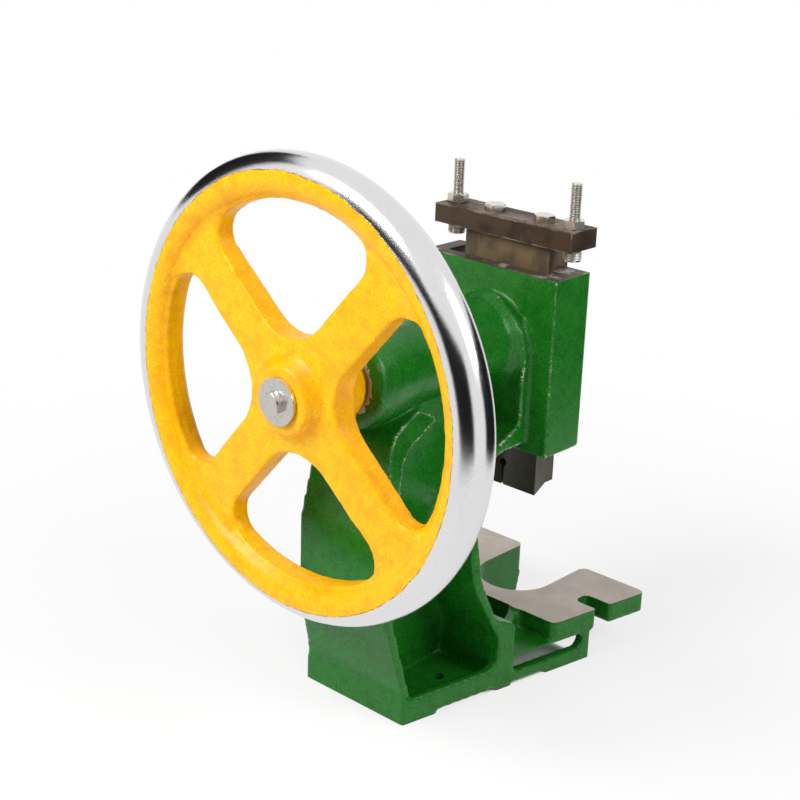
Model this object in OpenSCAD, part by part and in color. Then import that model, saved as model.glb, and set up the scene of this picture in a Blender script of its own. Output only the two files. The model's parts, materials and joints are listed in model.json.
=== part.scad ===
// Small bench punch press worked by a handwheel: a cast C-frame carries a crankshaft,
// whose eccentric pin drives a dovetail ram through a sliding block.
// Millimetres, +Z up, +Y from the handwheel to the front of the table.
// Reaches are measured forward from the rear edge of the foot.

/* [Foot] */
// Half of the foot's width at its rear edge
rear_half_width = 60; // [45:0.5:80]
// Half of the table's width at its front edge
front_half_width = 112; // [90:0.5:140]
// Reach of the front end of the side walls
side_wall_reach = 218; // [190:0.5:250]
// Thickness of the side walls
side_wall = 10; // [6:0.5:16]
// Height of the pocket floor over the bench
floor_height = 14; // [8:0.5:20]
// Height of the lip beside the pocket floor
lip_height = 23; // [16:0.5:35]
// Radius of the corner where the lip runs up into the front flange
lip_corner = 12; // [4:0.5:14]
// Height of the relief between the two pads under the foot
pad_relief = 3; // [1:0.5:6]
// Length of the rear pad
rear_pad = 38; // [20:0.5:60]
// Length of the front pad
front_pad = 55; // [20:0.5:70]
// Radius of the bench bolt holes
bench_hole_radius = 5.5; // [3:0.25:9]
// Distance of the bench bolt holes from the middle plane
bench_hole_offset = 40; // [25:0.5:50]
// Reach of the bench bolt holes
bench_hole_reach = 68; // [35:0.5:90]

/* [Table] */
// Reach of the front edge of the table
table_reach = 286; // [250:1:340]
// Reach of the rear edge of the table
table_rear = 170; // [140:0.5:185]
// Height of the machined table top
table_height = 49; // [35:0.5:80]
// Thickness of the table's wings
wing_thickness = 20; // [10:0.5:30]
// Size of the rear outer corners of the table
table_corner = 8; // [6:0.5:30]
// Half width of the slot for slugs
slot_half_width = 37.5; // [20:0.5:50]
// Reach of the middle of the slot's round end
slot_centre = 227.5; // [200:0.5:250]
// Thickness of the wall that follows the slot down to the bench
slot_wall = 9; // [5:0.5:14]
// Reach of the middle of the clamping notches
notch_reach = 231; // [215:0.5:260]
// Width of the clamping notches
notch_width = 17.5; // [9:0.5:24]
// Depth of the clamping notches from the table's side
notch_depth = 27; // [12:0.5:35]
// Height of the lower edge of the side windows
window_bottom = 13.3; // [8:0.1:16]
// Height of the upper edge of the side windows
window_top = 27.5; // [20:0.1:29]
// Thickness of the low deck behind the table
deck_thickness = 5; // [3:0.5:8]
// Step from the table's edge in to the side walls, and from these in to the front flange
casting_step = 0.6; // [0.3:0.1:2]

/* [Column] */
// Height of the shaft axis over the bench
shaft_height = 307; // [260:1:360]
// Reach of the rear face of the head
head_reach = 168; // [150:0.5:200]
// Thickness of the web between the two flanges
web_thickness = 20; // [10:0.5:30]
// Reach of the rear side of the front flange where it meets the foot
strip_rear = 104; // [90:0.5:115]
// Reach of the front side of the front flange where it meets the foot
strip_front = 124; // [116:0.5:140]
// Height of the foot's pillar at the front side of the front flange
pillar_height = 63; // [55:0.5:72]
// Radius of the arch on the rear face of the head
arch_radius = 46; // [38:0.5:60]
// Thickness of the arch
arch_thickness = 10; // [5:0.5:16]
// Distance of the middle of the arch below the shaft axis
arch_drop = 7; // [0:0.5:12]
// Radius of the tube that carries the shaft
tube_radius = 37; // [30:0.5:45]
// Radius of the collar at the rear end of the tube
collar_radius = 43; // [36:0.5:55]
// Distance of the collar's end face behind the foot
collar_overhang = 20; // [8:0.5:30]
// Length of the collar before it narrows
collar_length = 22; // [10:0.5:40]

/* [Head and gib] */
// Depth of the head from rear to front
head_depth = 49; // [40:0.5:70]
// Thickness of the head's wall behind the ram
head_back = 15; // [10:0.5:25]
// Distance from the shaft axis down to the underside of the head
head_below = 101; // [80:0.5:130]
// Distance from the shaft axis up to the top of the head
head_above = 63; // [50:0.5:90]
// Thickness of the head's plain wall beside the ram
plain_wall = 20.7; // [12:0.1:30]
// Thickness of the head's wall beside the gib
gib_wall = 15; // [8:0.5:25]
// Width of the gib strip at the back of the ram
gib_width = 17.4; // [10:0.1:25]
// Gap between the gib strip and the head's wall
gib_gap = 2.6; // [1:0.1:5]
// Thread radius of the gib screws
gib_screw_radius = 4; // [2.5:0.25:6]
// Width across the flats of the gib lock nuts
gib_nut_width = 13; // [8:0.5:19]
// Height of the gib lock nuts
gib_nut_height = 5; // [3:0.25:8]
// Length of each gib screw outside its lock nut
gib_screw_tail = 5; // [2:0.5:12]
// Distance between neighbouring gib screws
gib_screw_pitch = 48; // [30:0.5:60]

/* [Ram and cross bar] */
// Half width of the ram at its rear face
ram_half_width = 48; // [40:0.5:60]
// Half width of the ram at its front face
ram_neck_half_width = 36; // [28:0.5:44]
// Distance over which the ram's flanks taper
dovetail_depth = 32; // [20:0.5:45]
// Depth of the ram from rear to front
ram_depth = 44; // [35:0.5:60]
// Distance from the shaft axis down to the ram's lower end
ram_below = 147; // [125:0.5:170]
// Distance from the shaft axis up to the ram's upper end
ram_above = 89; // [80:0.5:110]
// Radius of the bore for the tool shank
shank_radius = 12.7; // [8:0.1:16]
// Depth of the bore for the tool shank
shank_depth = 55; // [30:0.5:80]
// Width of the slit that lets the bore close on the shank
slit_width = 2.5; // [1:0.1:4]
// Height of the slit
slit_height = 22; // [16:0.5:40]
// Distance of the slit from the middle plane
slit_offset = 10; // [0:0.5:11]
// Thread radius of the shank clamp screw
clamp_screw_radius = 2.5; // [2:0.25:3]
// Length of the cross bar
bar_length = 154.8; // [130:0.2:180]
// Depth of the cross bar from rear to front
bar_depth = 36.5; // [25:0.5:50]
// Thickness of the cross bar
bar_thickness = 17.4; // [10:0.2:25]
// Distance of the cross bar's rear face behind the ram's rear face
bar_overhang = 10; // [0:0.5:14]
// Distance of the left bar bolt from the middle plane
left_bolt_offset = 22; // [18:0.5:38]
// Distance of the right bar bolt from the middle plane
right_bolt_offset = 33.5; // [18:0.5:38]
// Depth of the bar bolts in the ram
bar_bolt_depth = 24; // [15:0.5:40]
// Distance of the stop screws from the middle plane
stop_offset = 66; // [60:0.5:72]
// Length of thread above the head of each stop screw
stop_length = 58; // [45:0.5:80]
// Radius of the knurled heads of the stop screws
stop_head_radius = 8; // [6:0.25:10]
// Height of the knurled heads of the stop screws
stop_head_height = 10; // [6:0.25:14]
// Gap between the stop screws' heads and the cross bar
stop_gap = 1; // [0.4:0.1:4]
// Thread radius of the bar bolts, stop screws and wheel bolt
bolt_radius = 5; // [4:0.25:6]
// Width across the flats of the nuts and hexagon heads
hex_width = 17; // [13:0.5:19]
// Height of the lock nuts on the cross bar
nut_height = 8; // [5:0.25:10]
// Height of the hexagon heads
bolt_head_height = 6.4; // [4:0.1:9]

/* [Crank] */
// Distance of the crank pin from the shaft axis
crank_throw = 14; // [8:0.25:18]
// Radius of the shaft's journals
journal_radius = 15; // [12:0.25:18]
// Radius of the crank disc
disc_radius = 29; // [24:0.5:34]
// Thickness of the crank disc
disc_thickness = 15; // [8:0.5:20]
// Radius of the crank pin
pin_radius = 9; // [6:0.25:11]
// Length of the crank pin in front of its disc
pin_length = 21; // [14:0.5:26]
// Wall thickness of the two bushes
bush_wall = 4; // [2:0.25:6]
// Length of each bush
bush_length = 45; // [25:0.5:60]
// Width of the sliding block
block_width = 28; // [24:0.5:34]
// Height of the sliding block
block_height = 30; // [24:0.5:36]
// Length of the sliding block along the pin
block_length = 20; // [14:0.5:24]
// Thickness of the thrust washer behind the collar
thrust_thickness = 2.5; // [1:0.1:5]
// Radius of the thrust washer
thrust_radius = 27; // [22:0.5:35]
// Width of the wheel's key
key_width = 8; // [5:0.5:10]
// Height of the wheel's key
key_height = 7; // [5:0.5:9]
// Length of the wheel's key
key_length = 40; // [20:0.5:50]

/* [Handwheel] */
// Distance of the rim's middle plane behind the foot
wheel_overhang = 67.5; // [60:0.5:74]
// Distance of the hub's end face behind the foot
hub_overhang = 93; // [88:0.5:110]
// Radius from the shaft axis to the middle of the rim
rim_radius = 175.5; // [140:0.5:210]
// Diameter of the rim's section
rim_section = 37; // [26:0.5:46]
// Width of each spoke
spoke_width = 42; // [25:0.5:55]
// Thickness of the spokes at the rim
spoke_thickness = 17; // [10:0.5:24]
// Turn of the spokes from the diagonals
spoke_turn = 4; // [-20:0.5:20]
// Radius of the hub's end face
hub_end_radius = 28.5; // [24:0.5:36]
// Largest radius of the hub
hub_radius = 43; // [36:0.5:55]
// Radius of the washer under the wheel bolt
washer_radius = 20; // [15:0.5:26]
// Thickness of the washer under the wheel bolt
washer_thickness = 4; // [2:0.25:6]
// Length of the wheel bolt in the shaft
wheel_bolt_depth = 30; // [15:0.5:40]

/* [Hidden] */
$fn = 72;
arc_steps = 7;
overrun = 2;

// Clearances
bore_clearance = 0.05;
seat_clearance = 0.1;
slide_clearance = 0.12;
block_clearance = 0.5;
disc_clearance = 1;
face_clearance = 0.3;

// Edge breaks
small_edge = 1;
casting_edge = 4;

// Derived places
bolt_end = hub_overhang + washer_thickness + bolt_head_height;
middle_reach = (table_reach - bolt_end) / 2;
head_front = head_reach + head_depth;
head_bottom = shaft_height - head_below;
head_top = shaft_height + head_above;
ram_rear = head_reach + head_back;
ram_front = ram_rear + ram_depth;
ram_bottom = shaft_height - ram_below;
ram_top = shaft_height + ram_above;
bar_top = ram_top + bar_thickness;
bar_rear = ram_rear - bar_overhang;
bar_middle = bar_rear + bar_depth / 2;
shank_reach = ram_rear + ram_depth / 2;
head_right = ram_half_width + plain_wall;
gib_outer = ram_half_width + gib_width;
head_left = gib_outer + gib_gap + gib_wall;
bush_radius = journal_radius + bush_wall;
tube_front = head_reach - arch_thickness;
disc_front = ram_rear - disc_clearance;
disc_rear = disc_front - disc_thickness;
disc_bore = disc_radius + disc_clearance;
front_bush_front = disc_rear - face_clearance;
hub_front = -collar_overhang - thrust_thickness - 2 * face_clearance;
slot_rear = slot_centre - slot_half_width;
wing_bottom = table_height - wing_thickness;
deck_top = wing_bottom + small_edge;
block_rear = ram_rear + face_clearance;
slider_half = crank_throw + block_width / 2 + disc_clearance;

// Side view of the rear flange, as shares of the head's reach and the shaft's height,
// with the rounding of each corner as a share of the height
rear_face_shares = [
    [0, 0, 0], [0, 0.1, 0.06], [-0.1, 0.32, 0.2],
    [-0.1, 0.56, 0.25], [-0.04, 0.84, 0.12], [0.22, 0.9, 0]
];
rear_pocket_shares = [
    [0.35, 0.86, 0], [0.05, 0.79, 0.1], [-0.05, 0.56, 0.2],
    [-0.05, 0.32, 0.2], [0.05, 0.1, 0.06], [0.09, 0, 0]
];

// Side view of the front flange above the foot, in the same shares
throat_shares = [
    [0.762, 0.697, 0.09], [0.506, 0.541, 0.15],
    [0.506, 0.358, 0.2], [0.607, 0.235, 0.05]
];
front_pocket_shares = [
    [0.628, 0.169, 0.03], [0.437, 0.368, 0.16],
    [0.43, 0.465, 0.14], [0.714, 0.711, 0.1], [0.94, 0.765, 0.03]
];

// Rear and front views of the flanges: shares of the foot's half width and the shaft's height
rear_width_shares = [
    [0.985, 0, 0], [0.97, 0.1, 0.1], [0.89, 0.32, 0.3],
    [0.89, 0.54, 0.3], [0.75, 0.75, 0.2], [0.5, 0.93, 0]
];
front_width_shares = [[1.03, 0, 0], [1.03, 0.15, 0.04], [0.87, 0.38, 0.3], [0.75, 0.555, 0.2]];

function half_width(reach) =
    rear_half_width + (front_half_width - rear_half_width) * reach / table_reach;

// Arc that rounds corner p between its neighbours a and b
function corner_arc(a, p, b, r) =
    let (
        to_a = (a - p) / norm(a - p),
        to_b = (b - p) / norm(b - p),
        half = acos(to_a * to_b) / 2,
        centre = p + (to_a + to_b) / norm(to_a + to_b) * r / sin(half),
        start = p + to_a * r / tan(half) - centre,
        first = atan2(start.y, start.x),
        turn = cross(p - a, b - p) > 0 ? 180 - 2 * half : 2 * half - 180
    )
    [for (i = [0:arc_steps])
        let (angle = first + turn * i / arc_steps)
        centre + r * [cos(angle), sin(angle)]];

// Outline through corners [x, y, radius], each rounded where its radius isn't zero
function rounded(corners) =
    let (n = len(corners), p = [for (c = corners) [c[0], c[1]]])
    [for (i = [0:n - 1]) each corners[i][2] > 0
        ? corner_arc(p[(i + n - 1) % n], p[i], p[(i + 1) % n], corners[i][2])
        : [p[i]]];

function from_shares(shares, depth, height) =
    [for (s = shares) [s[0] * depth, s[1] * height, s[2] * height]];

function mirrored(corners) =
    concat(corners, [for (i = [len(corners) - 1:-1:0]) [-corners[i][0], corners[i][1], corners[i][2]]]);

// The whole machine stands with the middle of its length over the origin
module placed() {
    translate([0, -middle_reach, 0])
        children();
}

// Z of the child runs forward along the shaft
module along_shaft(reach = 0) {
    translate([0, reach, shaft_height])
        rotate([-90, 0, 0])
            children();
}

// Outline in reach and height, extruded across the machine
module side_profile(points, half_thickness) {
    translate([-half_thickness, 0, 0])
        rotate([90, 0, 90])
            linear_extrude(2 * half_thickness)
                polygon(points);
}

// Outline in width and height, extruded forward
module front_profile(points, rear, front) {
    translate([0, front, 0])
        rotate([90, 0, 0])
            linear_extrude(front - rear)
                polygon(points);
}

module block(low, high) {
    translate(low)
        cube(high - low);
}

module hexagon(width, height) {
    cylinder(r = width / 2 / cos(30), h = height, $fn = 6);
}

// Band of the foot's tapering plan between two reaches, drawn in by an inset
module plan_band(rear, front, bottom, top, inset = 0) {
    translate([0, 0, bottom])
        linear_extrude(top - bottom)
            polygon([
                [inset - half_width(rear), rear], [half_width(rear) - inset, rear],
                [half_width(front) - inset, front], [inset - half_width(front), front]
            ]);
}

module each_side() {
    children();
    mirror([1, 0, 0])
        children();
}

module foot() {
    side = front_half_width + overrun;
    difference() {
        intersection() {
            plan_band(-overrun, table_reach, -overrun, shaft_height, casting_step);
            union() {
                block([-side, 0, 0], [side, side_wall_reach, lip_height]);
                block([-side, strip_rear, 0], [side, side_wall_reach, deck_top]);
                lip_fillet();
            }
        }
        each_side()
            pocket_recess();
        each_side()
            table_cavity();
        each_side()
            side_window();
        block([-side, rear_pad, -overrun], [side, side_wall_reach - front_pad, pad_relief]);
    }
}

// Rounds the corner where the lip runs up into the front flange
module lip_fillet() {
    rear = strip_rear - 2 * lip_corner;
    front = strip_rear + 2 * overrun;
    high = lip_height + 2 * lip_corner;
    side_profile(
        rounded([
            [rear, floor_height, 0], [front, floor_height, 0],
            [front, high, 0], [strip_rear + overrun, high, 0],
            [strip_rear + small_edge, lip_height, lip_corner], [rear, lip_height, 0]
        ]),
        front_half_width
    );
}

// Sunk floor between the web and the lip, on one side
module pocket_recess() {
    rear = rear_half_width * rear_pocket_shares[5][0];
    intersection() {
        plan_band(rear, strip_rear, floor_height, shaft_height, side_wall);
        block([web_thickness / 2, 0, 0], [front_half_width, strip_rear, shaft_height]);
    }
}

// Space under the table between the side wall and the slot's wall, on one side
module table_cavity() {
    intersection() {
        plan_band(strip_front, side_wall_reach + overrun, -overrun, deck_top, side_wall);
        block(
            [web_thickness / 2, strip_front, -overrun],
            [front_half_width, side_wall_reach + overrun, deck_top - deck_thickness]
        );
    }
}

module side_window() {
    rounding = (window_top - window_bottom) / 2;
    front = side_wall_reach - side_wall - rounding;
    rear = strip_front + rounding;
    middle = (window_top + window_bottom) / 2;
    for (reach = [rear, front])
        translate([half_width(rear) - side_wall - overrun, reach, middle])
            rotate([0, 90, 0])
                cylinder(r = rounding, h = half_width(front));
    block(
        [half_width(rear) - side_wall - overrun, rear, window_bottom],
        [half_width(rear) + half_width(front), front, window_top]
    );
}

function table_outline() =
    let (
        notch_inner = half_width(notch_reach) - notch_depth,
        notch_rear = notch_reach - notch_width / 2,
        notch_front = notch_reach + notch_width / 2
    )
    rounded(mirrored([
        [half_width(table_rear) - table_corner / 2, table_rear, table_corner / 2],
        [half_width(table_rear + table_corner / 2), table_rear + table_corner / 2, table_corner / 2],
        [half_width(notch_rear), notch_rear, small_edge],
        [notch_inner, notch_rear, notch_width / 3],
        [notch_inner, notch_front, notch_width / 3],
        [half_width(notch_front), notch_front, small_edge],
        [half_width(table_reach), table_reach, casting_edge]
    ]));

// Wings at full height, with the slot's wall standing on the bench between them
module table() {
    difference() {
        union() {
            translate([0, 0, wing_bottom])
                linear_extrude(wing_thickness)
                    polygon(table_outline());
            difference() {
                union() {
                    translate([0, slot_centre, 0])
                        cylinder(r = slot_half_width + slot_wall, h = wing_bottom + overrun);
                    slot_arms();
                }
                block(
                    [-front_half_width, rear_pad, -overrun],
                    [front_half_width, side_wall_reach - front_pad, pad_relief]
                );
            }
        }
        slot_space();
    }
}

// Arms beside the slot, whose ends lean back towards the bench
module slot_arms() {
    lean = wing_bottom / 4;
    side_profile(
        [
            [slot_centre, 0], [table_reach - lean, 0],
            [table_reach, wing_bottom + overrun], [slot_centre, wing_bottom + overrun]
        ],
        slot_half_width + slot_wall
    );
}

module slot_space() {
    translate([0, slot_centre, -overrun])
        cylinder(r = slot_half_width, h = table_height + 2 * overrun);
    block(
        [-slot_half_width, slot_centre, -overrun],
        [slot_half_width, table_reach + overrun, table_height + overrun]
    );
}

// Rib that carries the web on under the table, and a gusset at each side of the deck
module deck_ribs() {
    block(
        [-web_thickness / 2, strip_rear, pad_relief],
        [web_thickness / 2, slot_rear - slot_wall / 2, table_height - wing_thickness / 4]
    );
    each_side()
        deck_gusset();
}

// Gusset that runs inwards from the front flange to the table and sags between them, on one side
module deck_gusset() {
    rear = strip_front - casting_edge;
    front = table_rear + overrun;
    outer_rear = half_width(strip_front) - side_wall;
    outer_front = slot_half_width + slot_wall;
    intersection() {
        translate([0, 0, wing_bottom])
            linear_extrude(pillar_height)
                polygon([
                    [outer_rear - side_wall, rear], [outer_rear, rear],
                    [outer_front, front], [outer_front - side_wall, front]
                ]);
        side_profile(
            rounded([
                [rear - overrun, wing_bottom - overrun, 0], [front + overrun, wing_bottom - overrun, 0],
                [front + overrun, table_height - small_edge, 0],
                [strip_front + wing_thickness, table_height - casting_edge, wing_thickness],
                [rear - overrun, pillar_height, 0]
            ]),
            front_half_width
        );
    }
}

module rear_flange() {
    intersection() {
        side_profile(
            rounded(concat(
                from_shares(rear_face_shares, head_reach, shaft_height),
                from_shares(rear_pocket_shares, head_reach, shaft_height)
            )),
            rear_half_width + overrun
        );
        front_profile(
            rounded(mirrored(from_shares_wide(rear_width_shares, rear_half_width))),
            -head_reach,
            head_reach
        );
    }
}

function from_shares_wide(shares, width) =
    [for (s = shares) [s[0] * width, s[1] * shaft_height, s[2] * shaft_height]];

function arch_points() =
    [for (i = [0:2 * arc_steps]) [
        arch_radius * cos(90 * i / arc_steps),
        shaft_height - arch_drop + arch_radius * sin(90 * i / arc_steps)
    ]];

// Half of the front flange's outline from the bench up to the arch
function front_flange_side() =
    let (
        strip = half_width(strip_front),
        neck = head_bottom + arch_thickness / 2,
        corners = concat(
            from_shares_wide(front_width_shares, strip),
            [[arch_radius, neck, arch_radius / 2], [arch_radius, shaft_height - arch_drop, 0]]
        ),
        closed = rounded(concat([[0, 0, 0]], corners, [[0, shaft_height - arch_drop, 0]]))
    )
    [for (i = [1:len(closed) - 2]) closed[i]];

module front_flange() {
    right = front_flange_side();
    outline = concat(right, arch_points(), [for (i = [len(right) - 1:-1:0]) [-right[i].x, right[i].y]]);
    arch_top = shaft_height - arch_drop + arch_radius + overrun;
    intersection() {
        side_profile(
            rounded(concat(
                [[strip_rear, 0, 0]],
                from_shares(front_pocket_shares, head_reach, shaft_height),
                [
                    [tube_front, arch_top, 0], [head_reach + overrun, arch_top, 0],
                    [head_reach + overrun, head_bottom + arch_thickness, 0]
                ],
                from_shares(throat_shares, head_reach, shaft_height),
                [[strip_front, pillar_height, casting_edge], [strip_front, 0, 0]]
            )),
            front_half_width
        );
        front_profile(outline, strip_rear - shaft_height, head_reach + overrun);
        plan_band(-strip_rear, table_reach, -overrun, shaft_height + 2 * arch_radius, 2 * casting_step);
    }
}

// Web between the flanges, from the bench up to the shaft's tube
module web() {
    side_profile(
        rounded(concat(
            from_shares(rear_face_shares, head_reach, shaft_height),
            [
                [strip_rear, shaft_height, 0], [head_reach, shaft_height, 0],
                [head_reach, head_bottom + arch_thickness, 0]
            ],
            from_shares(throat_shares, head_reach, shaft_height),
            [[strip_front, pillar_height, casting_edge], [strip_front, 0, 0]]
        )),
        web_thickness / 2
    );
}

module shaft_tube() {
    edge = (collar_radius - tube_radius);
    along_shaft()
        rotate_extrude()
            polygon(rounded([
                [0, -collar_overhang, 0],
                [collar_radius, -collar_overhang, edge],
                [collar_radius, collar_length - collar_overhang, collar_length],
                [tube_radius, 2 * collar_length, collar_length],
                [tube_radius, tube_front - arch_thickness, 2 * arch_thickness / 3],
                [arch_radius - overrun, tube_front + overrun, 0],
                [0, tube_front + overrun, 0]
            ]));
}

module head() {
    difference() {
        translate([0, 0, head_bottom])
            linear_extrude(head_below + head_above)
                polygon(rounded([
                    [-head_left, head_reach, casting_edge], [head_right, head_reach, casting_edge / 2],
                    [head_right, head_front, casting_edge / 2], [-head_left, head_front, casting_edge / 2]
                ]));
        ram_channel();
    }
}

// Space for the ram and the gib strip, open to the front, the top and the bottom
module ram_channel() {
    rear = ram_rear - slide_clearance;
    past = head_front + overrun;
    translate([0, 0, head_bottom - overrun])
        linear_extrude(head_below + head_above + 2 * overrun)
            polygon([
                [-gib_outer - gib_gap, rear],
                [ram_half_width + slide_clearance, rear],
                [ram_half_width + slide_clearance, ram_rear + small_edge],
                [ram_neck_half_width + slide_clearance, ram_rear + dovetail_depth],
                [ram_neck_half_width + slide_clearance, past],
                [-gib_outer - gib_gap, past]
            ]);
}

gib_screw_heights = [for (i = [-1:1]) shaft_height - (head_below - head_above) / 2 + i * gib_screw_pitch];
gib_screw_reach = ram_rear + dovetail_depth / 2;

// Z of the child runs from the gib to the left, through the head's wall
module at_gib_screws(offset) {
    for (height = gib_screw_heights)
        translate([-offset, gib_screw_reach, height])
            rotate([0, -90, 0])
                children();
}

module frame_casting() {
    tube_length = tube_front + collar_overhang;
    color("#1f7a34")
        placed()
            difference() {
                union() {
                    foot();
                    deck_ribs();
                    table();
                    rear_flange();
                    front_flange();
                    web();
                    shaft_tube();
                    head();
                }
                slot_space();
                along_shaft(-collar_overhang - overrun)
                    cylinder(r = bush_radius + bore_clearance, h = tube_length + 2 * overrun);
                along_shaft(front_bush_front)
                    cylinder(r = disc_bore, h = ram_rear - front_bush_front + overrun);
                along_shaft(tube_front)
                    cylinder(r = bush_radius + bore_clearance, h = head_back);
                each_side()
                    translate([bench_hole_offset, bench_hole_reach, -overrun])
                        cylinder(r = bench_hole_radius, h = lip_height);
                at_gib_screws(gib_outer + gib_gap - overrun)
                    cylinder(r = gib_screw_radius + bore_clearance, h = gib_wall + 2 * overrun);
            }
}

module bush(rear) {
    color("#b08a4a")
        placed()
            along_shaft(rear)
                difference() {
                    cylinder(r = bush_radius, h = bush_length);
                    translate([0, 0, -overrun])
                        cylinder(r = journal_radius + bore_clearance, h = bush_length + 2 * overrun);
                }
}

module rear_bush() {
    bush(-collar_overhang);
}

module front_bush() {
    bush(front_bush_front - bush_length);
}

module thrust_washer() {
    color("#b08a4a")
        placed()
            along_shaft(-collar_overhang - face_clearance - thrust_thickness)
                difference() {
                    cylinder(r = thrust_radius, h = thrust_thickness);
                    translate([0, 0, -overrun])
                        cylinder(r = journal_radius + bore_clearance, h = thrust_thickness + 2 * overrun);
                }
}

shaft_rear = washer_thickness / 2 - hub_overhang;
key_rear = -wheel_overhang - key_length / 2;

// Space of the key, grown on all sides by a clearance; it stands on top of the shaft
module key_space(clearance) {
    outer = journal_radius + key_height / 2 + clearance;
    translate([-key_width / 2 - clearance, -outer, key_rear - clearance])
        cube([key_width + 2 * clearance, key_height + 2 * clearance, key_length + 2 * clearance]);
}

module crankshaft() {
    color("#8f9296")
        placed()
            difference() {
                union() {
                    along_shaft(shaft_rear)
                        cylinder(r = journal_radius, h = disc_rear - shaft_rear + overrun);
                    along_shaft(disc_rear)
                        cylinder(r = disc_radius, h = disc_thickness);
                    translate([crank_throw, 0, 0])
                        along_shaft(disc_front - overrun)
                            cylinder(r = pin_radius, h = pin_length + overrun);
                }
                along_shaft()
                    key_space(seat_clearance);
                along_shaft(shaft_rear - overrun)
                    cylinder(r = bolt_radius + bore_clearance, h = wheel_bolt_depth + 2 * overrun);
            }
}

module wheel_key() {
    color("#6f7276")
        placed()
            along_shaft()
                key_space(0);
}

// Opening between two spokes, with its middle on the X axis
module wheel_window() {
    outer = rim_radius - rim_section / 2 + small_edge / 2;
    tip = spoke_width / 2 / sin(45);
    corner = 45 - asin(spoke_width / 2 / outer);
    arc = [for (i = [-3:3]) [outer * cos(corner * i / 5), outer * sin(corner * i / 5), 0]];
    polygon(rounded(concat(
        [[tip, 0, hub_radius], [outer * cos(corner), -outer * sin(corner), spoke_width / 2]],
        arc,
        [[outer * cos(corner), outer * sin(corner), spoke_width / 2]]
    )));
}

module spider() {
    low = -wheel_overhang - spoke_thickness / 2;
    intersection() {
        translate([0, 0, -hub_overhang])
            linear_extrude(hub_overhang)
                difference() {
                    circle(r = rim_radius);
                    for (i = [0:3])
                        rotate(90 * i - spoke_turn)
                            wheel_window();
                }
        rotate_extrude()
            polygon([
                [journal_radius, low - spoke_thickness / 4], [hub_radius, low - spoke_thickness / 4],
                [rim_radius, low], [rim_radius, low + spoke_thickness],
                [journal_radius, low + 1.2 * spoke_thickness]
            ]);
    }
}

module wheel_hub() {
    low = -wheel_overhang - spoke_thickness / 2;
    rotate_extrude()
        polygon(rounded([
            [0, -hub_overhang, 0],
            [hub_end_radius, -hub_overhang, small_edge],
            [hub_end_radius + small_edge, (low - hub_overhang) / 2, hub_radius / 8],
            [hub_radius, low, hub_radius / 8],
            [hub_radius, low + spoke_thickness, hub_radius / 8],
            [thrust_radius + small_edge, hub_front, small_edge],
            [0, hub_front, 0]
        ]));
}

module handwheel() {
    color("#f0b410")
        placed()
            along_shaft()
                difference() {
                    union() {
                        translate([0, 0, -wheel_overhang])
                            rotate_extrude()
                                translate([rim_radius, 0])
                                    circle(r = rim_section / 2, $fn = 32);
                        spider();
                        wheel_hub();
                    }
                    translate([0, 0, -hub_overhang - overrun])
                        cylinder(r = journal_radius + bore_clearance, h = hub_overhang + 2 * overrun);
                    key_space(seat_clearance);
                }
}

module wheel_washer() {
    color("#c9ccd0")
        placed()
            along_shaft(-hub_overhang - washer_thickness)
                difference() {
                    cylinder(r = washer_radius, h = washer_thickness);
                    translate([0, 0, -overrun])
                        cylinder(r = bolt_radius + bore_clearance, h = washer_thickness + 2 * overrun);
                }
}

module wheel_bolt() {
    color("#c9ccd0")
        placed()
            along_shaft(-bolt_end) {
                hexagon(hex_width, bolt_head_height);
                cylinder(r = bolt_radius, h = bolt_end + shaft_rear + wheel_bolt_depth);
            }
}

module slider_block() {
    color("#b08a4a")
        placed()
            difference() {
                translate([crank_throw - block_width / 2, block_rear, shaft_height - block_height / 2])
                    cube([block_width, block_length, block_height]);
                translate([crank_throw, 0, 0])
                    along_shaft(block_rear - overrun)
                        cylinder(r = pin_radius + bore_clearance, h = block_length + 2 * overrun);
            }
}

module ram_body() {
    translate([0, 0, ram_bottom])
        linear_extrude(ram_below + ram_above)
            polygon(rounded(mirrored([
                [ram_half_width, ram_rear, small_edge / 2],
                [ram_half_width, ram_rear + small_edge, 0],
                [ram_neck_half_width, ram_rear + dovetail_depth, 0],
                [ram_neck_half_width, ram_front, small_edge]
            ])));
}

clamp_screw_height = ram_bottom + slit_height / 2;
clamp_screw_reach = (ram_rear + shank_reach - shank_radius) / 2;
bar_bolt_offsets = [-left_bolt_offset, right_bolt_offset];

module ram() {
    slot_half = block_height / 2 + block_clearance;
    slot_end = block_rear + block_length + block_clearance;
    color("#7a6c5a")
        placed()
            difference() {
                ram_body();
                block(
                    [-slider_half, ram_rear - overrun, shaft_height - slot_half],
                    [slider_half, slot_end, shaft_height + slot_half]
                );
                translate([0, shank_reach, ram_bottom - overrun])
                    cylinder(r = shank_radius, h = shank_depth + overrun);
                block(
                    [slit_offset - slit_width / 2, ram_rear - overrun, ram_bottom - overrun],
                    [slit_offset + slit_width / 2, shank_reach, ram_bottom + slit_height]
                );
                translate([slit_offset, ram_rear - overrun, ram_bottom + slit_height])
                    rotate([-90, 0, 0])
                        cylinder(r = 1.5 * slit_width, h = ram_depth / 2 + overrun);
                clamp_screw_path(ram_half_width + overrun, bore_clearance);
                for (offset = bar_bolt_offsets)
                    translate([offset, bar_middle, ram_top - bar_bolt_depth - overrun])
                        cylinder(r = bolt_radius + bore_clearance, h = bar_bolt_depth + 2 * overrun);
            }
}

clamp_screw_seat = 1.5 * shank_radius;

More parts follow.
